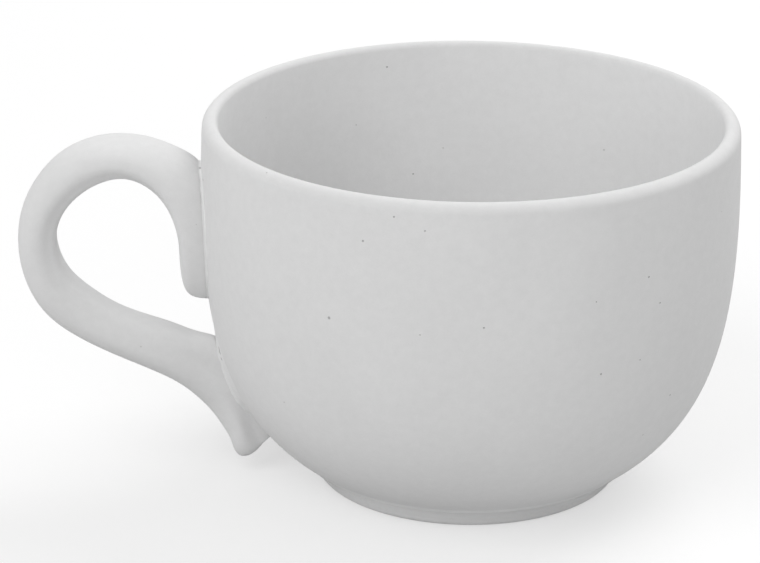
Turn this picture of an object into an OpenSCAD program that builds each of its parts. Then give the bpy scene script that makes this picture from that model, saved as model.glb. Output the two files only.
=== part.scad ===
// Wide clay cup with a looped handle, put together from cast and turned pieces with layers of slip.
// Millimetres. +Z is up, the origin is on the bowl's axis at the resting plane, the handle points to -X.

/* [Bowl] */
// Outside diameter at the rim
rim_d = 110; // [85:1:130]
// Height from the resting plane to the top of the lip
cup_h = 77.6; // [66:0.2:95]
// Thickness of the wall
wall_t = 3.3; // [2.4:0.1:4.5]
// Thickness of the floor
floor_t = 3.3; // [2.4:0.1:5]
// Softness of the turn from the wall to the floor
floor_blend = 2; // [1:0.5:4]

/* [Foot] */
// Height of the foot below the bowl
foot_h = 5; // [4:0.2:8]
// Outside diameter of the foot where it meets the bowl
foot_top_d = 70; // [60:1:78]
// How far the foot's outer face draws in on its way down
foot_taper = 3.2; // [1:0.2:5]
// Width of the foot ring at its top
foot_w = 9.5; // [7:0.5:14]
// Rounding of the foot's outer lower edge
foot_round = 1.6; // [0.8:0.1:2.4]
// Rounding of the foot's inner lower edge
foot_bore_round = 1; // [0.5:0.1:1.5]

/* [Handle] */
// Reach of the loop past the wall
handle_out = 38; // [28:0.2:46]
// Distance of the handle's top below the rim
handle_drop = 3.4; // [2:0.2:8]
// Height of the tail's lowest point above the resting plane
tail_clear = 3.2; // [1:0.1:5]
// Greatest thickness of the handle from side to side
handle_thick = 22.4; // [15:0.2:26]

/* [Slip joints] */
// Thickness of the slip layer in each joint
slip_t = 0.4; // [0.2:0.05:0.8]

/* [Hidden] */

// Clearance on each side of a slip layer that lies on the curved wall
fit_gap = 0.05;
// How far the foot's slip layer stays back from the crease
foot_slip_back = 0.3;
// Softness with which the handle's flanks leave the wall
seat_blend = 0.6;

// Steps along the wall's curve, across the floor, along a quarter round and between two of the
// handle's stations
wall_steps = 30;
floor_steps = 12;
round_steps = 6;
span_steps = 3;
// Sides of the handle's section, and rings in each of its end faces
section_sides = 40;
end_rings = 8;
$fn = 96;

// Clay colours
clay_color = [0.83, 0.83, 0.83];
slip_color = [0.78, 0.78, 0.78];

// The wall's curve leaves the foot along the first share and reaches the lip along the second,
// both of the curve's own width and height
wall_low_share = [0.91, 0.173];
wall_high_share = [0.078, -0.54];
// Share of the lip's thickness that the outer rounding takes
lip_outer_share = 0.64;
// The most of the foot's resting width that one of its two roundings may take
edge_share = 0.4;

rim_r = rim_d / 2;
foot_top_r = foot_top_d / 2;
foot_low_r = foot_top_r - foot_taper;
foot_bore_r = foot_top_r - foot_w;
foot_edge_limit = (foot_w - foot_taper) * edge_share;
foot_low_edge_r = min(foot_round, foot_edge_limit);
foot_bore_edge_r = min(foot_bore_round, foot_edge_limit);
lip_outer_r = wall_t * lip_outer_share;
lip_inner_r = wall_t - lip_outer_r;
floor_z = foot_h + floor_t;
foot_top_z = foot_h - slip_t;
handle_rise = cup_h - handle_drop - tail_clear;

// The handle's stations, from the top joint round the loop to the tail. Each row has the outer edge's
// distance off the wall and height, the same two for the inner edge, and the half thickness toward the
// outer and the inner edge, as shares of the handle's reach, its rise and its greatest half thickness, and
// the depth of the groove in each flank as a share of the half thickness there, with its place between the
// inner edge at -1 and the outer edge at 1. The last share says how square the half toward the inner edge
// is. Along the tail the inner edge lies behind the wall's face, and the section is pressed onto that face
handle_shares = [
    [0.000, 0.916, 0.000, 0.508, 0.85, 0.84, 0.00, -0.60, 0.0],
    [0.075, 0.945, 0.130, 0.513, 1.05, 0.93, 0.00, -0.60, 0.0],
    [0.170, 0.967, 0.134, 0.617, 1.03, 0.95, 0.02, -0.60, 0.5],
    [0.275, 0.990, 0.125, 0.721, 0.90, 0.88, 0.06, -0.60, 1.0],
    [0.390, 1.000, 0.178, 0.811, 0.81, 0.81, 0.10, -0.60, 1.0],
    [0.510, 1.001, 0.276, 0.868, 0.74, 0.75, 0.12, -0.60, 1.0],
    [0.640, 0.985, 0.395, 0.897, 0.69, 0.70, 0.13, -0.60, 1.0],
    [0.773, 0.948, 0.519, 0.884, 0.65, 0.66, 0.14, -0.60, 1.0],
    [0.887, 0.878, 0.641, 0.848, 0.61, 0.62, 0.14, -0.60, 1.0],
    [0.973, 0.789, 0.747, 0.787, 0.60, 0.60, 0.14, -0.60, 1.0],
    [1.003, 0.683, 0.795, 0.709, 0.58, 0.58, 0.14, -0.60, 1.0],
    [0.986, 0.572, 0.776, 0.636, 0.56, 0.56, 0.14, -0.60, 1.0],
    [0.911, 0.465, 0.728, 0.579, 0.55, 0.55, 0.14, -0.60, 1.0],
    [0.762, 0.394, 0.638, 0.530, 0.53, 0.53, 0.10, -0.60, 1.0],
    [0.600, 0.340, 0.504, 0.471, 0.52, 0.52, 0.05, -0.60, 1.0],
    [0.438, 0.293, 0.345, 0.438, 0.52, 0.52, 0.04, -0.50, 1.0],
    [0.307, 0.246, 0.215, 0.415, 0.47, 0.47, 0.06, -0.40, 1.0],
    [0.253, 0.190, 0.115, 0.390, 0.38, 0.38, 0.10, -0.30, 0.7],
    [0.242, 0.142, -0.010, 0.382, 0.32, 0.32, 0.18, -0.25, 0.3],
    [0.266, 0.098, -0.105, 0.335, 0.33, 0.32, 0.32, -0.15, 0.0],
    [0.303, 0.060, -0.125, 0.250, 0.38, 0.37, 0.44, -0.08, 0.0],
    [0.364, 0.031, -0.115, 0.172, 0.39, 0.40, 0.52, -0.05, 0.0],
    [0.362, 0.011, -0.085, 0.124, 0.35, 0.37, 0.54, -0.05, 0.0],
    [0.335, -0.003, -0.060, 0.100, 0.28, 0.31, 0.48, -0.05, 0.0],
    [0.278, 0.001, 0.040, 0.076, 0.15, 0.17, 0.20, -0.05, 0.0],
    [0.200, 0.033, 0.130, 0.051, 0.03, 0.03, 0.00, -0.05, 0.0]
];
// The tail's seat on the wall, in the same form, with its upper edge first
tail_seat_shares = [0.000, 0.362, 0.000, 0.088, 0.22, 0.24, 0.00, 0.00, 0.0];
// Spread of the groove, as a share of half the section's length
groove_spread_share = 0.38;
// Power of the handle's rounded section, plain and square: 2 is an ellipse, more is squarer
plain_power = 2.2;
square_power = 3;
// Size of each slip layer as a share of the face it joins
upper_slip_share = 0.95;
lower_slip_share = 0.96;

// Curves

function curve_point(p, t) =
    p[0] * pow(1 - t, 3) + 3 * p[1] * t * pow(1 - t, 2) + 3 * p[2] * t * t * (1 - t) + p[3] * pow(t, 3);

function curve_slope(p, t) =
    (p[1] - p[0]) * pow(1 - t, 2) + 2 * (p[2] - p[1]) * t * (1 - t) + (p[3] - p[2]) * t * t;

function soft_max(a, b, blend) = (a + b + sqrt((a - b) * (a - b) + blend * blend)) / 2;

function arc(centre, r, from, to) = [
    for (i = [0 : round_steps])
        let (a = from + (to - from) * i / round_steps)
            centre + r * [cos(a), sin(a)]
];

// A smooth line that passes close to stations p1 and p2, led in by p0 and led out by p3
function smooth_line(p0, p1, p2, p3, t) =
    (p0 * pow(1 - t, 3) + p1 * (3 * pow(t, 3) - 6 * t * t + 4)
        + p2 * (3 * t + 3 * t * t - 3 * pow(t, 3) + 1) + p3 * pow(t, 3)) / 6;

function signed_power(x, power) = sign(x) * pow(abs(x), power);

// Profile of the bowl

wall_foot = [foot_top_r, foot_h];
wall_lip = [rim_r, cup_h - lip_outer_r];
wall_run = wall_lip - wall_foot;

function of_run(share) = [share[0] * wall_run[0], share[1] * wall_run[1]];

wall_curve = [wall_foot, wall_foot + of_run(wall_low_share), wall_lip + of_run(wall_high_share), wall_lip];

outside = [for (i = [0 : wall_steps]) curve_point(wall_curve, i / wall_steps)];

// The inside keeps the wall's thickness, and turns softly into the floor
function inside_point(t) =
    let (s = curve_slope(wall_curve, t))
        curve_point(wall_curve, t) + wall_t * [-s[1], s[0]] / norm(s);

function above_floor(p) = [p[0], soft_max(p[1], floor_z, floor_blend)];

inside_foot = inside_point(0);
foot_slope = curve_slope(wall_curve, 0);

// Under the floor the inside runs on straight to the axis
function under_floor_point(share) =
    inside_foot - share * inside_foot[0] * [1, foot_slope[1] / foot_slope[0]];

inside = concat(
    [for (i = [wall_steps : -1 : 0]) above_floor(inside_point(i / wall_steps))],
    [for (i = [1 : floor_steps]) above_floor(under_floor_point(i / floor_steps))]
);

lip = concat(
    arc([rim_r - lip_outer_r, cup_h - lip_outer_r], lip_outer_r, 0, 90),
    arc([rim_r - wall_t + lip_inner_r, cup_h - lip_inner_r], lip_inner_r, 90, 180)
);

function but_first(list) = [for (i = [1 : len(list) - 1]) list[i]];

// Outside radius of the wall at a height
wall_table = [for (p = outside) [p[1], p[0]]];

function wall_r(z) = lookup(z, wall_table);

// Stations of the handle: the outer edge's distance from the axis and height, the same two for the
// inner edge, the half thickness toward each of them, and the groove's depth and place and the inner
// half's squareness as shares

function station(row) =
    let (outer_z = tail_clear + row[1] * handle_rise, inner_z = tail_clear + row[3] * handle_rise)
        [
            wall_r(outer_z) + row[0] * handle_out, outer_z,
            wall_r(inner_z) + row[2] * handle_out, inner_z,
            row[4] * handle_thick / 2, row[5] * handle_thick / 2,
            row[6], row[7], row[8]
        ];

stations = [for (row = handle_shares) station(row)];
last_station = len(stations) - 1;
first_lead = 2 * stations[0] - stations[1];
last_lead = 2 * stations[last_station] - stations[last_station - 1];
led = concat([first_lead], stations, [last_lead]);

rings = concat(
    [
        for (i = [0 : last_station - 1], k = [0 : span_steps - 1])
            smooth_line(led[i], led[i + 1], led[i + 2], led[i + 3], k / span_steps)
    ],
    [stations[last_station]]
);
last_ring = len(rings) - 1;

// Place of a section's point: [distance from the axis, sideways, height], clear of the wall and its slip
function section_point(ring, i, size_share) =
    let (
        a = 360 * i / section_sides,
        inner_power = plain_power + ring[8] * (square_power - plain_power),
        power = cos(a) < 0 ? inner_power : plain_power,
        along = signed_power(cos(a), 2 / power),
        side = signed_power(sin(a), 2 / power) * size_share,
        outer = [ring[0], ring[1]],
        inner = [ring[2], ring[3]],
        half = (ring[4] + ring[5] + (ring[4] - ring[5]) * cos(a)) / 2,
        groove = ring[6] * exp(-pow((along - ring[7]) / groove_spread_share, 2)),
        p = (outer + inner) / 2 + along * size_share * (outer - inner) / 2
    ) [soft_max(p[0], wall_r(p[1]) + slip_t, seat_blend), side * half * (1 - groove), p[1]];

// The same point set out from the axis toward the handle's side
function placed(p) = [-sqrt(p[0] * p[0] - p[1] * p[1]), p[1], p[2]];

// The same point pressed onto the wall, at a distance off it
function on_wall(p, off) = placed([wall_r(p[2]) + off, p[1], p[2]]);

function free_ring(ring) = [for (i = [0 : section_sides - 1]) placed(section_point(ring, i, 1))];

// An end face on the wall: rings of points from its edge inwards, then its middle
function wall_face(ring, off, size_share) = concat(
    [
        for (k = [0 : end_rings - 1], i = [0 : section_sides - 1])
            on_wall(section_point(ring, i, size_share * (1 - k / end_rings)), off)
    ],
    [on_wall(section_point(ring, 0, 0), off)]
);

wall_face_size = section_sides * end_rings + 1;

// Triangles of a band between two rings of points that start at a and at b
function band(a, b) = [
    for (i = [0 : section_sides - 1])
        let (j = (i + 1) % section_sides)
            each [[a + i, b + j, b + i], [a + i, a + j, b + j]]
];

function turned(faces) = [for (f = faces) [f[0], f[2], f[1]]];

// Triangles that close the ring of points that starts at a over a middle point
function cap(a, middle) = [for (i = [0 : section_sides - 1]) [a + i, a + (i + 1) % section_sides, middle]];

// Triangles of an end face whose points start at a
function wall_face_faces(a) = concat(
    [
        for (k = [0 : end_rings - 2])
            each band(a + k * section_sides, a + (k + 1) * section_sides)
    ],
    cap(a + (end_rings - 1) * section_sides, a + wall_face_size - 1)
);

// A layer of slip between the wall and one of the handle's ends
module slip_layer(ring, size_share) {
    low = wall_face(ring, fit_gap, size_share);
    high = wall_face(ring, slip_t - fit_gap, size_share);
    polyhedron(
        points = concat(low, high),
        faces = concat(
            wall_face_faces(0),
            turned(wall_face_faces(wall_face_size)),
            turned(band(0, wall_face_size))
        ),
        convexity = 4
    );
}

// Pieces

module bowl() {
    color(clay_color)
        rotate_extrude()
            polygon(concat(
                [[0, foot_h]],
                outside,
                but_first(lip),
                inside
            ));
}

module foot_ring() {
    color(clay_color)
        rotate_extrude()
            polygon(concat(
                [[foot_bore_r, foot_top_z]],
                arc([foot_bore_r + foot_bore_edge_r, foot_bore_edge_r], foot_bore_edge_r, 180, 270),
                arc([foot_low_r - foot_low_edge_r, foot_low_edge_r], foot_low_edge_r, -90, 0),
                [[foot_top_r, foot_top_z]]
            ));
}

module foot_slip() {
    color(slip_color)
        rotate_extrude()
            polygon([
                [foot_bore_r + foot_slip_back, foot_top_z],
                [foot_top_r - foot_slip_back, foot_top_z],
                [foot_top_r - foot_slip_back, foot_h],
                [foot_bore_r + foot_slip_back, foot_h]
            ]);
}

module handle() {
    upper = wall_face(rings[0], slip_t, 1);
    tube = [for (k = [1 : last_ring]) each free_ring(rings[k])];
    tip = placed(section_point(rings[last_ring], 0, 0));
    tube_start = wall_face_size;
    tube_last = tube_start + len(tube) - section_sides;
    color(clay_color)
        polyhedron(
            points = concat(upper, tube, [tip]),
            faces = concat(
                wall_face_faces(0),
                turned(band(0, tube_start)),
                [
                    for (a = [tube_start : section_sides : tube_last - section_sides])
                        each turned(band(a, a + section_sides))
                ],
                turned(cap(tube_last, tube_last + section_sides))
            ),
            convexity = 8
        );
}

module upper_slip() {
    color(slip_color)
        slip_layer(rings[0], upper_slip_share);
}

module lower_slip() {
    color(slip_color)
        slip_layer(station(tail_seat_shares), lower_slip_share);
}

bowl();
foot_ring();
foot_slip();
handle();
upper_slip();
lower_slip();
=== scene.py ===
"""Unglazed clay cup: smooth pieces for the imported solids, bisque material, soft studio and camera."""

import math

import bmesh
import bpy
import numpy as np
from mathutils import Matrix, Vector, noise
from mathutils.bvhtree import BVHTree


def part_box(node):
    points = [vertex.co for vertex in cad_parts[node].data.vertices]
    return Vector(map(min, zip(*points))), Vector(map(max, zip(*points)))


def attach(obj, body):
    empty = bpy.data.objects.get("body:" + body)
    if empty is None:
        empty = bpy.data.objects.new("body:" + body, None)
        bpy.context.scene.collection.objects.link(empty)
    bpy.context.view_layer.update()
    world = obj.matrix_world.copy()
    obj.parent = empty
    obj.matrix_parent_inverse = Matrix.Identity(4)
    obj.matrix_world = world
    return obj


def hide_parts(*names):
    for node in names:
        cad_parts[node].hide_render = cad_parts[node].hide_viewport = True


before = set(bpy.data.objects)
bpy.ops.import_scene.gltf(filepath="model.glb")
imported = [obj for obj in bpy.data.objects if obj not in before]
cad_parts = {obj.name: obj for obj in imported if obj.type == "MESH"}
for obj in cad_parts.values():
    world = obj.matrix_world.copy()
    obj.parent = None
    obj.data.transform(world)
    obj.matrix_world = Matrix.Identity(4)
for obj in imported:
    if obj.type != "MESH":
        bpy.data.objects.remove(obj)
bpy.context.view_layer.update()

# Sizes in metres, taken from the solids where the frame gives them
MM = 0.001
BOWL_LOW, BOWL_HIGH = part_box("bowl")
_, FOOT_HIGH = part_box("foot_ring")
RIM_R = 55 * MM
CUP_H = BOWL_HIGH.z
WALL_T = 3.3 * MM
FLOOR_T = 3.3 * MM
FLOOR_BLEND = 2 * MM
LIP_OUTER_SHARE = 0.64
LIP_OUTER_R = LIP_OUTER_SHARE * WALL_T
LIP_INNER_R = WALL_T - LIP_OUTER_R
FOOT_H = BOWL_LOW.z
FOOT_TOP_R = FOOT_HIGH.x
FOOT_TOP_Z = FOOT_HIGH.z
FOOT_TAPER = 3.2 * MM
FOOT_W = 9.5 * MM
FOOT_LOW_R = FOOT_TOP_R - FOOT_TAPER
FOOT_BORE_R = FOOT_TOP_R - FOOT_W
FOOT_ROUND = 1.6 * MM
FOOT_BORE_ROUND = 1 * MM
SLIP_T = FOOT_H - FOOT_TOP_Z
TAIL_CLEAR = 3.2 * MM
HANDLE_DROP = 3.4 * MM
HANDLE_RISE = CUP_H - HANDLE_DROP - TAIL_CLEAR
HANDLE_HALF = 11.2 * MM
HANDLE_OUT = 38 * MM

# The wall's curve leaves the foot and reaches the lip along these shares of its width and height
WALL_LOW_SHARE = np.array((0.91, 0.173))
WALL_HIGH_SHARE = np.array((0.078, -0.54))

# The handle's stations: the outer edge's distance off the wall and height, the same two for the inner
# edge, the half thickness toward each edge, as shares of the handle's reach, rise and half thickness, and
# the depth of the groove in each flank, as a share of the half thickness there, with its place between
# the inner edge at -1 and the outer edge at 1. The last share says how square the inner half is
OUTER_OUT, OUTER_Z, INNER_OUT, INNER_Z, OUTER_HALF, INNER_HALF, GROOVE, GROOVE_PLACE, SQUARE = range(9)
HANDLE_SHARES = np.array((
    (0.000, 0.916, 0.000, 0.508, 0.85, 0.84, 0.00, -0.60, 0.0),
    (0.075, 0.945, 0.130, 0.513, 1.05, 0.93, 0.00, -0.60, 0.0),
    (0.170, 0.967, 0.134, 0.617, 1.03, 0.95, 0.02, -0.60, 0.5),
    (0.275, 0.990, 0.125, 0.721, 0.90, 0.88, 0.06, -0.60, 1.0),
    (0.390, 1.000, 0.178, 0.811, 0.81, 0.81, 0.10, -0.60, 1.0),
    (0.510, 1.001, 0.276, 0.868, 0.74, 0.75, 0.12, -0.60, 1.0),
    (0.640, 0.985, 0.395, 0.897, 0.69, 0.70, 0.13, -0.60, 1.0),
    (0.773, 0.948, 0.519, 0.884, 0.65, 0.66, 0.14, -0.60, 1.0),
    (0.887, 0.878, 0.641, 0.848, 0.61, 0.62, 0.14, -0.60, 1.0),
    (0.973, 0.789, 0.747, 0.787, 0.60, 0.60, 0.14, -0.60, 1.0),
    (1.003, 0.683, 0.795, 0.709, 0.58, 0.58, 0.14, -0.60, 1.0),
    (0.986, 0.572, 0.776, 0.636, 0.56, 0.56, 0.14, -0.60, 1.0),
    (0.911, 0.465, 0.728, 0.579, 0.55, 0.55, 0.14, -0.60, 1.0),
    (0.762, 0.394, 0.638, 0.530, 0.53, 0.53, 0.10, -0.60, 1.0),
    (0.600, 0.340, 0.504, 0.471, 0.52, 0.52, 0.05, -0.60, 1.0),
    (0.438, 0.293, 0.345, 0.438, 0.52, 0.52, 0.04, -0.50, 1.0),
    (0.307, 0.246, 0.215, 0.415, 0.47, 0.47, 0.06, -0.40, 1.0),
    (0.253, 0.190, 0.115, 0.390, 0.38, 0.38, 0.10, -0.30, 0.7),
    (0.242, 0.142, -0.010, 0.382, 0.32, 0.32, 0.18, -0.25, 0.3),
    (0.266, 0.098, -0.105, 0.335, 0.33, 0.32, 0.32, -0.15, 0.0),
    (0.303, 0.060, -0.125, 0.250, 0.38, 0.37, 0.44, -0.08, 0.0),
    (0.364, 0.031, -0.115, 0.172, 0.39, 0.40, 0.52, -0.05, 0.0),
    (0.362, 0.011, -0.085, 0.124, 0.35, 0.37, 0.54, -0.05, 0.0),
    (0.335, -0.003, -0.060, 0.100, 0.28, 0.31, 0.48, -0.05, 0.0),
    (0.278, 0.001, 0.040, 0.076, 0.15, 0.17, 0.20, -0.05, 0.0),
    (0.200, 0.033, 0.130, 0.051, 0.03, 0.03, 0.00, -0.05, 0.0),
))
# The station from which the inner edge goes on behind the wall's face, as the tail
TAIL_START = 17
# Power of the section's rounding, plain and square: 2 is an ellipse, more is squarer
PLAIN_POWER = 2.2
SQUARE_POWER = 3.0
# Spread of the groove, as a share of half the section's length
GROOVE_SPREAD = 0.38
# Softness with which the handle's flanks leave the wall
SEAT_BLEND = 0.6 * MM

# Slip in the handle's joints: how far it runs out over the wall and up the handle, how much it swells,
# the share of it that is left at the joint's top and bottom, the seed of its unevenness, and the gaps in
# it on the side that is seen, as height, spread and depth
UPPER_SLIP = {
    "run": 0.32 * MM, "climb": 0.5 * MM, "swell": 0.04 * MM, "ends": 0.6, "seed": 3.0,
    "gaps": ((66.0 * MM, 1.0 * MM, 0.8), (63.0 * MM, 1.0 * MM, 0.7), (43.0 * MM, 9.0 * MM, 0.75)),
}
LOWER_SLIP = {
    "run": 8.0 * MM, "climb": 2.4 * MM, "swell": 1.0 * MM, "ends": 0.6, "seed": 8.0,
    "gaps": ((26.6 * MM, 0.4 * MM, 0.3), (9.0 * MM, 7.0 * MM, 0.92)),
}
# How quickly the slip thins toward the joint's top and bottom
ENDS_POWER = 1.5
# Waves of unevenness as cycles and size, how much more the swelling varies, and the step between seeds
SLIP_WAVES = ((1.6, 0.22), (4.5, 0.16))
SWELL_VARIES = 2
SEED_STEP = 20
# How deep the slip's edges sink into the clay
SLIP_SINK = 0.04 * MM
# Where the lower joint's slip ends inside the handle, as a share of the seat's half width
SEAT_INSIDE = 0.95
# The slip inside a joint: rings as shares of its edge, and heights off the wall as shares of its thickness
CORE_SHARES = (0.3, 0.65, 0.9)
CORE_LOW, CORE_CORNER, CORE_HIGH = 0.125, 0.25, 0.5
# The softened crease above the foot
CREASE_REACH = 1.6 * MM
CREASE_SWELL = 0.06 * MM

# Fineness of the meshes
TURNS = 288
WALL_STEPS = 96
ROUND_STEPS = 12
SPAN_STEPS = 8
SECTION_SIDES = 144
END_STEPS = 7
FILLET_STEPS = 10
# Spans of the handle up which the upper joint's slip may climb
CLIMB_SPANS = 3

# Finishes: tone, roughness and depth of the grain
FINISHES = {
    "clay": {"tone": (0.8, 0.8, 0.8), "rough": 0.82, "grain": 0.012 * MM},
    "slip": {"tone": (0.86, 0.86, 0.86), "rough": 0.88, "grain": 0.02 * MM},
}
# Clouds, mottling and grain in the tone: size, detail and how much each lightens it above the base
CLOUD_SIZE, CLOUD_DETAIL, CLOUD_SHADE = 18 * MM, 2, 0.05
MOTTLE_SIZE, MOTTLE_DETAIL, MOTTLE_SHADE = 1.8 * MM, 3, 0.07
FINE_SIZE, FINE_DETAIL, FINE_SHADE = 0.4 * MM, 2, 0.04
BASE_SHADE = 0.92
# How much the mottling roughens the clay, and its depth as a multiple of the grain's
MOTTLE_ROUGH = 0.1
MOTTLE_DEPTH = 2
SPECULAR = 0.25
DIFFUSE_ROUGH = 0.6
# Specks, and pits, which are small holes: how much painted shade darkens them as shade in their hollows, how
# deep they are, and the share of their radius at which they level out
SPECK_CELL = 6 * MM
SPECK_R = 0.18 * MM
PIT_PAINTED_SHADE = 0.42
PIT_DEPTH = 0.12 * MM
PIT_CORE_SHARE = 0.4
# Pinholes, each as the photograph's pixel column and row and its radius
IMAGE_SIZE = (760, 563)
PINHOLES = (
    (387, 67, 0.26 * MM), (356, 125, 0.17 * MM), (443, 148, 0.16 * MM), (413, 174, 0.25 * MM),
    (604, 150, 0.22 * MM), (363, 241, 0.26 * MM), (394, 217, 0.22 * MM), (425, 231, 0.20 * MM),
    (329, 318, 0.40 * MM), (484, 328, 0.24 * MM), (649, 277, 0.26 * MM), (660, 303, 0.22 * MM),
    (601, 374, 0.27 * MM), (670, 395, 0.24 * MM), (420, 335, 0.17 * MM), (200, 168, 0.34 * MM),
    (203, 180, 0.36 * MM), (219.2, 349, 0.75 * MM), (219.8, 352.5, 0.65 * MM), (221.5, 359, 0.50 * MM),
)

# Stage and light, in metres and watts
WHITE = (1, 1, 1, 1)
WORLD_LEVEL = 0.45
STAGE_TONE = (0.48, 0.48, 0.48, 1)
STAGE_ROUGH = 0.95
STAGE_LIFT = 0.53
STAGE_SIZE = 6.0
# Lamps: direction from the cup, distance, diameter and power
LAMPS = {
    "key": (Vector((-0.5, -0.5, 0.707)), 1.6, 1.25, 8.0),
    "back": (Vector((0.5, 0.5, 0.707)), 1.6, 1.25, 12.8),
    "front": (Vector((0, -0.951, 0.309)), 1.6, 0.9, 4.6),
}

# Camera: place and aim in metres, roll in degrees, lens and sensor in millimetres
CAMERA_PLACE = Vector((-58.17, -664.88, 294.97)) * MM
CAMERA_AIM = Vector((-18.378, 1.608, 41.171)) * MM
CAMERA_ROLL = 0.282
CAMERA_LENS = 162.62
SENSOR_WIDTH = 36
CLIP_NEAR, CLIP_FAR = 0.01, 50


# Curves

def curve_point(p, t):
    """Point of a curve with four control points."""
    return p[0] * (1 - t) ** 3 + 3 * p[1] * t * (1 - t) ** 2 + 3 * p[2] * t * t * (1 - t) + p[3] * t ** 3


def curve_slope(p, t):
    """Direction of the same curve."""
    return (p[1] - p[0]) * (1 - t) ** 2 + 2 * (p[2] - p[1]) * t * (1 - t) + (p[3] - p[2]) * t * t


def bent(start, corner, end, steps):
    """Points of a bend from start to end that is drawn toward a corner."""
    shares = np.linspace(0, 1, steps + 1)
    return [start * (1 - t) ** 2 + 2 * corner * t * (1 - t) + end * t * t for t in shares]


def soft_max(a, b, blend):
    """The larger of two values, with a soft change from one to the other."""
    return (a + b + np.sqrt((a - b) ** 2 + blend ** 2)) / 2


def arc(centre, r, start, end):
    """Points on an arc, from one angle to another in degrees."""
    angles = np.radians(np.linspace(start, end, ROUND_STEPS + 1))
    return [np.array((centre[0] + r * math.cos(a), centre[1] + r * math.sin(a))) for a in angles]


def signed_power(x, power):
    """A power that keeps the sign."""
    return np.sign(x) * np.abs(x) ** power


def unit(v):
    """Each vector of a list at length 1."""
    return v / np.linalg.norm(v, axis=1, keepdims=True)


def run_along(path):
    """Distance along a line of points, from its start to each of them."""
    steps = np.linalg.norm(np.diff(path, axis=0), axis=-1)
    return np.concatenate((np.zeros_like(steps[:1]), np.cumsum(steps, axis=0)))


# Meshes

def make_piece(name, verts, faces):
    """A smooth mesh piece."""
    mesh = bpy.data.meshes.new(name)
    mesh.from_pydata([tuple(v) for v in verts], [], faces)
    tidy = bmesh.new()
    tidy.from_mesh(mesh)
    bmesh.ops.recalc_face_normals(tidy, faces=tidy.faces)
    tidy.to_mesh(mesh)
    tidy.free()
    mesh.shade_smooth()
    piece = bpy.data.objects.new(name, mesh)
    bpy.context.scene.collection.objects.link(piece)
    return piece


def band(a, b, count):
    """Quads between two rings of points that start at a and b."""
    return [(a + i, a + (i + 1) % count, b + (i + 1) % count, b + i) for i in range(count)]


def fan(centre, ring, count, flip):
    """Triangles between a ring of points and its centre."""
    faces = [(centre, ring + i, ring + (i + 1) % count) for i in range(count)]
    return [f[::-1] for f in faces] if flip else faces


def turned_piece(name, profile, closed):
    """A piece turned about the axis. A profile that isn't closed starts and ends on the axis."""
    ring_points = profile if closed else profile[1:-1]
    angles = np.linspace(0, 2 * math.pi, TURNS, endpoint=False)
    verts = [(r * math.cos(a), r * math.sin(a), z) for r, z in ring_points for a in angles]
    last = len(ring_points) - 1
    faces = [f for k in range(last) for f in band(k * TURNS, (k + 1) * TURNS, TURNS)]
    if closed:
        faces += band(last * TURNS, 0, TURNS)
    else:
        start = len(verts)
        verts += [(0, 0, profile[0][1]), (0, 0, profile[-1][1])]
        faces += fan(start, 0, TURNS, True)
        faces += fan(start + 1, last * TURNS, TURNS, False)
    return make_piece(name, verts, faces)


def stacked_piece(name, rows):
    """A closed piece from rings of points, with a middle point at each end."""
    count = len(rows[0])
    verts = [v for row in rows for v in row]
    faces = [f for k in range(len(rows) - 1) for f in band(k * count, (k + 1) * count, count)]
    start = len(verts)
    verts += [rows[0].mean(axis=0), rows[-1].mean(axis=0)]
    faces += fan(start, 0, count, True) + fan(start + 1, start - count, count, False)
    return make_piece(name, verts, faces)


# Bowl: its profile as distance from the axis and height

WALL_FOOT = np.array((FOOT_TOP_R, FOOT_H))
WALL_LIP = np.array((RIM_R, CUP_H - LIP_OUTER_R))
WALL_RUN = WALL_LIP - WALL_FOOT
WALL_CURVE = (
    WALL_FOOT,
    WALL_FOOT + WALL_LOW_SHARE * WALL_RUN,
    WALL_LIP + WALL_HIGH_SHARE * WALL_RUN,
    WALL_LIP,
)
WALL = [curve_point(WALL_CURVE, t) for t in np.linspace(0, 1, WALL_STEPS + 1)]
WALL_Z = [p[1] for p in WALL]
WALL_R = [p[0] for p in WALL]


def wall_r(z):
    """Outside radius of the wall at a height."""
    return np.interp(z, WALL_Z, WALL_R)


def inside_wall(t):
    """Point of the wall's inner face."""
    slope = curve_slope(WALL_CURVE, t)
    return curve_point(WALL_CURVE, t) + WALL_T * np.array((-slope[1], slope[0])) / np.linalg.norm(slope)


def above_floor(p):
    """A point of the inner face, kept above the bowl's floor with a soft change."""
    return np.array((p[0], soft_max(p[1], FOOT_H + FLOOR_T, FLOOR_BLEND)))


def bowl_profile():
    """The bowl's outline from the axis under the floor, up the outside, over the lip and down the inside."""
    under = [np.array((r, FOOT_H)) for r in np.linspace(0, FOOT_TOP_R, ROUND_STEPS)]
    lip = arc((RIM_R - LIP_OUTER_R, CUP_H - LIP_OUTER_R), LIP_OUTER_R, 0, 90)
    lip += arc((RIM_R - WALL_T + LIP_INNER_R, CUP_H - LIP_INNER_R), LIP_INNER_R, 90, 180)[1:]
    down = [above_floor(inside_wall(t)) for t in np.linspace(1, 0, WALL_STEPS + 1)]
    foot = inside_wall(0)
    slope = curve_slope(WALL_CURVE, 0)
    run = np.array((1, slope[1] / slope[0]))
    floor = [above_floor(foot - s * foot[0] * run) for s in np.linspace(0, 1, 2 * ROUND_STEPS)]
    return under + WALL[1:-1] + lip + down[1:] + floor[1:]


def bowl_piece():
    return turned_piece("bowl_shell", bowl_profile(), False)


# Foot

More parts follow.
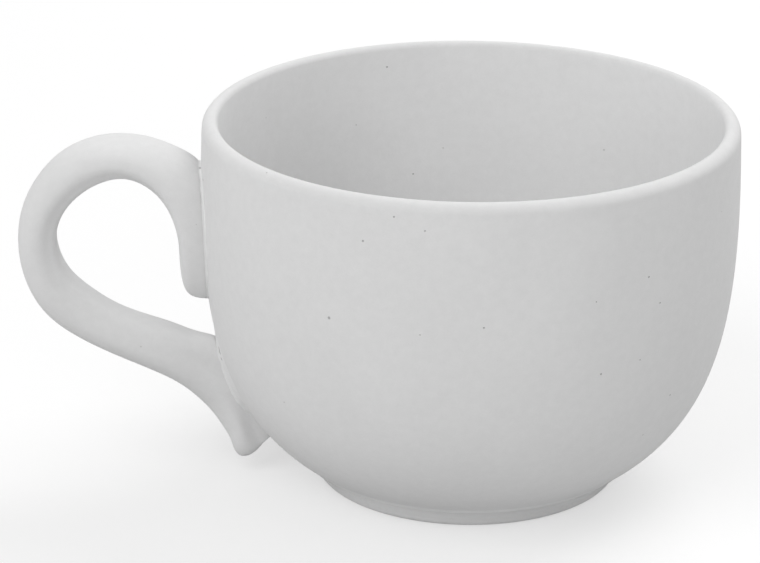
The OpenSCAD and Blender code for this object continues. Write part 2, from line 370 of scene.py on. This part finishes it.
def foot_ring_piece():
    """The ring under the bowl, tapered outside, with its lower edges rounded."""
    profile = arc((FOOT_BORE_R + FOOT_BORE_ROUND, FOOT_BORE_ROUND), FOOT_BORE_ROUND, 180, 270)
    profile += arc((FOOT_LOW_R - FOOT_ROUND, FOOT_ROUND), FOOT_ROUND, -90, 0)
    profile += [np.array((FOOT_TOP_R, FOOT_TOP_Z)), np.array((FOOT_BORE_R, FOOT_TOP_Z))]
    return turned_piece("foot_turned", profile, True)


def foot_slip_piece():
    """Slip between the bowl and its foot, which softens the crease outside and in the bore."""
    side = np.array((FOOT_LOW_R - FOOT_TOP_R, FOOT_ROUND - FOOT_TOP_Z))
    side_end = np.array((FOOT_TOP_R, FOOT_TOP_Z)) + side / np.linalg.norm(side) * CREASE_REACH
    wall_end = np.array((wall_r(FOOT_H + CREASE_REACH / 2), FOOT_H + CREASE_REACH / 2))
    corner = np.array((FOOT_TOP_R + CREASE_SWELL, (FOOT_H + FOOT_TOP_Z) / 2))
    sink = np.array((-SLIP_SINK, SLIP_SINK))
    outer = bent(side_end + sink, corner, wall_end + sink, FILLET_STEPS)
    bore_top = np.array((FOOT_BORE_R - CREASE_REACH / 2, FOOT_H + SLIP_SINK))
    bore_low = np.array((FOOT_BORE_R + SLIP_SINK, FOOT_TOP_Z - CREASE_REACH / 2))
    bore = bent(bore_top, np.array((FOOT_BORE_R, FOOT_H)), bore_low, FILLET_STEPS)
    return turned_piece("foot_joint", outer + bore, True)


# Handle

SECTION_ANGLES = np.linspace(0, 2 * math.pi, SECTION_SIDES, endpoint=False)


def stations():
    """The handle's stations in metres, with each edge as its distance from the axis and its height."""
    rows = HANDLE_SHARES.copy()
    for out, z in ((OUTER_OUT, OUTER_Z), (INNER_OUT, INNER_Z)):
        rows[:, z] = TAIL_CLEAR + rows[:, z] * HANDLE_RISE
        rows[:, out] = wall_r(rows[:, z]) + rows[:, out] * HANDLE_OUT
    rows[:, (OUTER_HALF, INNER_HALF)] *= HANDLE_HALF
    return rows


def section_rings():
    """A smooth run of sections that follows the stations."""
    row = stations()
    led = np.vstack((2 * row[0] - row[1], row, 2 * row[-1] - row[-2]))
    rings = []
    for p0, p1, p2, p3 in zip(led, led[1:], led[2:], led[3:]):
        for t in np.arange(SPAN_STEPS) / SPAN_STEPS:
            rings.append((p0 * (1 - t) ** 3 + p1 * (3 * t ** 3 - 6 * t * t + 4)
                          + p2 * (3 * t + 3 * t * t - 3 * t ** 3 + 1) + p3 * t ** 3) / 6)
    rings.append(row[-1])
    return rings


def plain_section(ring, share=1):
    """A section's points before it is pressed onto the wall: distance from the axis, sideways and height."""
    turn = np.cos(SECTION_ANGLES)
    inner_power = PLAIN_POWER + ring[SQUARE] * (SQUARE_POWER - PLAIN_POWER)
    power = np.where(turn < 0, inner_power, PLAIN_POWER)
    along = signed_power(turn, 2 / power)
    side = signed_power(np.sin(SECTION_ANGLES), 2 / power) * share
    half = (ring[OUTER_HALF] + ring[INNER_HALF] + (ring[OUTER_HALF] - ring[INNER_HALF]) * turn) / 2
    groove = ring[GROOVE] * np.exp(-((along - ring[GROOVE_PLACE]) / GROOVE_SPREAD) ** 2)
    along = along * share / 2
    r = (ring[OUTER_OUT] + ring[INNER_OUT]) / 2 + along * (ring[OUTER_OUT] - ring[INNER_OUT])
    z = (ring[OUTER_Z] + ring[INNER_Z]) / 2 + along * (ring[OUTER_Z] - ring[INNER_Z])
    return r, side * half * (1 - groove), z


def section(ring):
    """A section's points, clear of the wall and its slip."""
    r, y, z = plain_section(ring)
    return soft_max(r, wall_r(z) + SLIP_T, SEAT_BLEND), y, z


def placed(r, y, z):
    """Points at a distance from the axis, on the handle's side of it."""
    return np.stack((-np.sqrt(r ** 2 - y ** 2), y, z), axis=1)


def on_wall(y, z, off):
    """Points pressed onto the wall, at a distance off it."""
    return placed(wall_r(z) + off, y, z)


def end_face(ring, off, share=1):
    """An end section pressed onto the wall."""
    _, y, z = plain_section(ring, share)
    return on_wall(y, z, off)


HANDLE_RINGS = section_rings()
# The handle's rings of points, from the one on the wall to the tail's tip
HANDLE_ROWS = [end_face(HANDLE_RINGS[0], SLIP_T)] + [placed(*section(ring)) for ring in HANDLE_RINGS[1:]]


def handle_piece():
    """The handle from its face on the wall to the tail's tip."""
    face = [end_face(HANDLE_RINGS[0], SLIP_T, s) for s in np.linspace(0, 1, END_STEPS + 1)[1:-1]]
    return stacked_piece("handle_loop", face + HANDLE_ROWS)


# Slip in the handle's joints

def uneven(count, seed):
    """Hand-made unevenness round a joint, about 0."""
    angles = np.linspace(0, 2 * math.pi, count, endpoint=False)
    total = np.zeros(count)
    for cycles, size in SLIP_WAVES:
        round_joint = [Vector((cycles * math.cos(a), cycles * math.sin(a), seed)) for a in angles]
        total += [size * noise.noise(p) for p in round_joint]
    return total


def filled(edge, gaps):
    """Share of the slip that is left round a joint, less than 1 at its gaps."""
    left = np.ones(len(edge))
    for height, spread, depth in gaps:
        near = np.exp(-((edge[:, 1] - height) / spread) ** 2)
        left *= 1 - depth * near * (edge[:, 0] < 0)
    return left


def outward(edge):
    """The direction out of a closed edge at each of its points."""
    tangent = unit(np.roll(edge, -1, axis=0) - np.roll(edge, 1, axis=0))
    out = np.stack((tangent[:, 1], -tangent[:, 0]), axis=1)
    return out * np.sign(np.sum(out * (edge - edge.mean(axis=0)), axis=1, keepdims=True))


def slip_piece(name, edge, shape, top):
    """Slip that fills a joint and stands out round it as a soft uneven fillet."""
    out = outward(edge)
    ends, seed, count = shape["ends"], shape["seed"], len(edge)
    full = filled(edge, shape["gaps"]) * (ends + (1 - ends) * np.abs(out[:, 0]) ** ENDS_POWER)
    run = shape["run"] * full * (1 + uneven(count, seed))
    climb = shape["climb"] * full * (1 + uneven(count, seed + SEED_STEP))
    swell = shape["swell"] * full * (1 + SWELL_VARIES * uneven(count, seed + 2 * SEED_STEP))
    foot = edge + out * run[:, None]
    wall_edge = on_wall(foot[:, 0], foot[:, 1], -SLIP_SINK)
    handle_edge = top(climb)
    corner = on_wall(edge[:, 0], edge[:, 1], SLIP_T * CORE_CORNER)
    corner = corner + (unit(wall_edge - corner) + unit(handle_edge - corner)) * swell[:, None]
    middle = edge.mean(axis=0)

    def core(share, off):
        shrunk = middle + (edge - middle) * share
        return on_wall(shrunk[:, 0], shrunk[:, 1], off)

    low = [core(s, SLIP_T * CORE_LOW) for s in CORE_SHARES]
    high = [core(s, SLIP_T * CORE_HIGH) for s in CORE_SHARES[::-1]]
    return stacked_piece(name, low + bent(wall_edge, corner, handle_edge, FILLET_STEPS) + high)


def upper_slip_piece():
    """Slip round the handle's upper face, which climbs along the handle."""
    _, y, z = plain_section(HANDLE_RINGS[0])
    path = np.stack(HANDLE_ROWS[:CLIMB_SPANS * SPAN_STEPS])
    run = run_along(path)

    def top(climb):
        climbed = np.array([[np.interp(climb[i], run[:, i], path[:, i, k]) for k in range(3)]
                            for i in range(SECTION_SIDES)])
        return climbed + unit(HANDLE_ROWS[0].mean(axis=0) - climbed) * SLIP_SINK

    return slip_piece("upper_joint", np.stack((y, z), axis=1), UPPER_SLIP, top)


def tail_flanks():
    """For each section of the tail that meets the wall's face, its flank from there outwards."""
    inner_to_outer = slice(SECTION_SIDES // 2, None, -1)
    flanks = []
    for ring in HANDLE_RINGS[TAIL_START * SPAN_STEPS:]:
        points = np.stack(plain_section(ring), axis=1)[inner_to_outer]
        gap = points[:, 0] - wall_r(points[:, 2]) - SLIP_T
        if gap[0] < 0 < gap[-1]:
            k = int(np.argmax(gap > 0))
            share = gap[k - 1] / (gap[k - 1] - gap[k])
            flanks.append(np.vstack((points[k - 1] * (1 - share) + points[k] * share, points[k:])))
    return flanks


def lower_slip_piece():
    """Slip along both flanks of the tail, which climbs out along them."""
    flanks = tail_flanks()
    sides = [(f, -1) for f in flanks] + [(f, 1) for f in flanks[::-1]]
    edge = np.array([(f[0][1] * side, f[0][2]) for f, side in sides])

    def top(climb):
        points = []
        for (flank, side), reach in zip(sides, climb):
            r, y, z = (np.interp(reach, run_along(flank), flank[:, k]) for k in range(3))
            points.append((r, y * side * SEAT_INSIDE, z))
        return placed(*np.array(points).T)

    return slip_piece("lower_joint", edge, LOWER_SLIP, top)


# Materials

class Nodes:
    """Adds nodes to a tree and links them."""

    def __init__(self, owner):
        self.tree = owner.node_tree

    def add(self, kind, inputs=(), **settings):
        """A node with its settings and inputs, each input a value or a socket to link."""
        node = self.tree.nodes.new(kind)
        for key, value in settings.items():
            setattr(node, key, value)
        for key, value in dict(inputs).items():
            if isinstance(value, bpy.types.NodeSocket):
                self.tree.links.new(value, node.inputs[key])
            else:
                node.inputs[key].default_value = value
        return node

    def math(self, operation, a, b=0.0, c=0.0):
        """The result of an operation on values or sockets."""
        return self.add("ShaderNodeMath", {0: a, 1: b, 2: c}, operation=operation).outputs[0]

    def noise(self, place, size, detail):
        """Soft noise from 0 to 1 with features of about that size in metres."""
        node = self.add("ShaderNodeTexNoise", {"Vector": place, "Scale": 1 / size, "Detail": detail})
        return node.outputs["Fac"]

    def spot(self, away, radius):
        """1 close to a place and 0 beyond a radius, softly between, from the distance to the place."""
        core = PIT_CORE_SHARE * radius
        limits = {"Value": away, "From Min": core, "From Max": radius, "To Min": 1.0, "To Max": 0.0}
        return self.add("ShaderNodeMapRange", limits, interpolation_type="SMOOTHSTEP").outputs["Result"]


def clay_material(name, finish, pinholes):
    """Unglazed clay: cloudy tone, fine grain, and scattered specks and the pinholes that are given, sunk by
    bump and darkened with painted shade.
    """
    grain = finish["grain"]
    material = bpy.data.materials.new(name)
    material.use_nodes = True
    n = Nodes(material)
    shader = n.tree.nodes["Principled BSDF"]
    place = n.add("ShaderNodeTexCoord").outputs["Object"]
    cloud = n.noise(place, CLOUD_SIZE, CLOUD_DETAIL)
    mottle = n.noise(place, MOTTLE_SIZE, MOTTLE_DETAIL)
    fine = n.noise(place, FINE_SIZE, FINE_DETAIL)
    cells = n.add("ShaderNodeTexVoronoi", {"Vector": place, "Scale": 1 / SPECK_CELL}).outputs["Distance"]
    pits = n.spot(cells, SPECK_R / SPECK_CELL)
    for centre, radius in pinholes:
        away = n.add("ShaderNodeVectorMath", {0: place, 1: centre}, operation="DISTANCE").outputs["Value"]
        pits = n.math("MAXIMUM", pits, n.spot(away, radius))
    value = n.math("MULTIPLY_ADD", cloud, CLOUD_SHADE, BASE_SHADE)
    value = n.math("MULTIPLY_ADD", mottle, MOTTLE_SHADE, value)
    value = n.math("MULTIPLY_ADD", fine, FINE_SHADE, value)
    # Painted shade: specks and pinholes darkened as if shade fell in their hollows
    value = n.math("MULTIPLY_ADD", pits, -PIT_PAINTED_SHADE, value)
    colour = n.add("ShaderNodeVectorMath", {0: finish["tone"], "Scale": value}, operation="SCALE").outputs[0]
    rough = n.math("MULTIPLY_ADD", mottle, MOTTLE_ROUGH, finish["rough"])
    height = n.math("MULTIPLY_ADD", fine, grain, n.math("MULTIPLY", mottle, MOTTLE_DEPTH * grain))
    height = n.math("MULTIPLY_ADD", pits, -PIT_DEPTH, height)
    bump = n.add("ShaderNodeBump", {"Height": height, "Distance": 1.0, "Strength": 1.0}).outputs[0]
    for socket, made in (("Base Color", colour), ("Roughness", rough), ("Normal", bump)):
        n.tree.links.new(made, shader.inputs[socket])
    shader.inputs["Specular IOR Level"].default_value = SPECULAR
    shader.inputs["Diffuse Roughness"].default_value = DIFFUSE_ROUGH
    return material


def pinhole_places(pieces, camera):
    """For each piece, the pinholes that reach it, each where the line of sight through its pixel ends."""
    trees = [BVHTree.FromPolygons([v.co for v in p.data.vertices], [f.vertices for f in p.data.polygons])
             for p in pieces]
    eye, turn = camera.matrix_world.translation, camera.matrix_world.to_3x3()
    width, height = IMAGE_SIZE
    pixel = SENSOR_WIDTH / CAMERA_LENS / width
    places = [[] for _ in pieces]
    for column, row, radius in PINHOLES:
        sight = turn @ Vector(((column - width / 2) * pixel, (height / 2 - row) * pixel, -1))
        hits = [t.ray_cast(eye, sight.normalized()) for t in trees]
        place = min((h for h in hits if h[0] is not None), key=lambda h: h[3])[0]
        for tree, reached in zip(trees, places):
            if tree.find_nearest(place)[3] < radius:
                reached.append((place, radius))
    return places


# Stage, light and camera

def white_rays(n):
    """1 for rays that see the background: from the camera, in gloss and through glass."""
    path = n.add("ShaderNodeLightPath").outputs
    seen = n.math("MAXIMUM", path["Is Camera Ray"], path["Is Glossy Ray"])
    return n.math("MAXIMUM", seen, path["Is Transmission Ray"])


def make_floor():
    """A plain pale floor that takes the cup's shadow and is seen as white round it."""
    half = STAGE_SIZE / 2
    mesh = bpy.data.meshes.new("floor")
    corners = [(-half, -half, 0), (half, -half, 0), (half, half, 0), (-half, half, 0)]
    mesh.from_pydata(corners, [], [(0, 1, 2, 3)])
    floor = bpy.data.objects.new("floor", mesh)
    bpy.context.scene.collection.objects.link(floor)
    material = bpy.data.materials.new("floor_paper")
    material.use_nodes = True
    n = Nodes(material)
    shader = n.tree.nodes["Principled BSDF"]
    shader.inputs["Base Color"].default_value = STAGE_TONE
    shader.inputs["Roughness"].default_value = STAGE_ROUGH
    shader.inputs["Specular IOR Level"].default_value = 0
    shader.inputs["Emission Color"].default_value = WHITE
    n.tree.links.new(n.math("MULTIPLY", white_rays(n), STAGE_LIFT), shader.inputs["Emission Strength"])
    mesh.materials.append(material)


def make_world():
    """Even light from all round, which is seen as white."""
    world = bpy.data.worlds.new("studio")
    bpy.context.scene.world = world
    world.use_nodes = True
    n = Nodes(world)
    background = n.tree.nodes["Background"]
    background.inputs["Color"].default_value = WHITE
    lift = n.math("MULTIPLY", white_rays(n), 1 - WORLD_LEVEL)
    n.tree.links.new(n.math("ADD", lift, WORLD_LEVEL), background.inputs["Strength"])


def make_lamp(name, direction, distance, size, power):
    """A soft round lamp that is aimed at the middle of the cup."""
    aim = Vector((0, 0, CUP_H / 2))
    place = aim + direction.normalized() * distance
    data = bpy.data.lights.new(name, "AREA")
    data.shape = "DISK"
    data.size = size
    data.energy = power
    lamp = bpy.data.objects.new(name, data)
    lamp.location = place
    lamp.rotation_mode = "QUATERNION"
    lamp.rotation_quaternion = (aim - place).to_track_quat("-Z", "Y")
    lamp.visible_camera = False
    bpy.context.scene.collection.objects.link(lamp)


def make_camera():
    """The camera that sees the cup as the photograph does."""
    data = bpy.data.cameras.new("camera")
    data.sensor_width = SENSOR_WIDTH
    data.sensor_fit = "HORIZONTAL"
    data.lens = CAMERA_LENS
    data.clip_start = CLIP_NEAR
    data.clip_end = CLIP_FAR
    camera = bpy.data.objects.new("camera", data)
    aim = (CAMERA_AIM - CAMERA_PLACE).to_track_quat("-Z", "Y").to_matrix()
    turn = Matrix.Rotation(math.radians(CAMERA_ROLL), 3, "Z")
    camera.matrix_world = Matrix.Translation(CAMERA_PLACE) @ (aim @ turn).to_4x4()
    bpy.context.scene.collection.objects.link(camera)
    bpy.context.scene.camera = camera
    bpy.context.view_layer.update()
    return camera


bpy.context.scene.view_settings.view_transform = "Standard"
camera = make_camera()
make_floor()
make_world()
for lamp_name, lamp_values in LAMPS.items():
    make_lamp(lamp_name, *lamp_values)

# Each piece with the node that it stands for and its material slot
PIECES = (
    (bowl_piece(), "bowl", "clay"),
    (foot_ring_piece(), "foot_ring", "clay"),
    (foot_slip_piece(), "foot_slip", "slip"),
    (handle_piece(), "handle", "clay"),
    (upper_slip_piece(), "upper_slip", "slip"),
    (lower_slip_piece(), "lower_slip", "slip"),
)
pinholes_of = pinhole_places([piece for piece, _, _ in PIECES], camera)
for (piece, node, slot), pinholes in zip(PIECES, pinholes_of):
    piece.data.materials.append(clay_material(node + "_" + slot, FINISHES[slot], pinholes))
    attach(piece, "root")
    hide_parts(node)
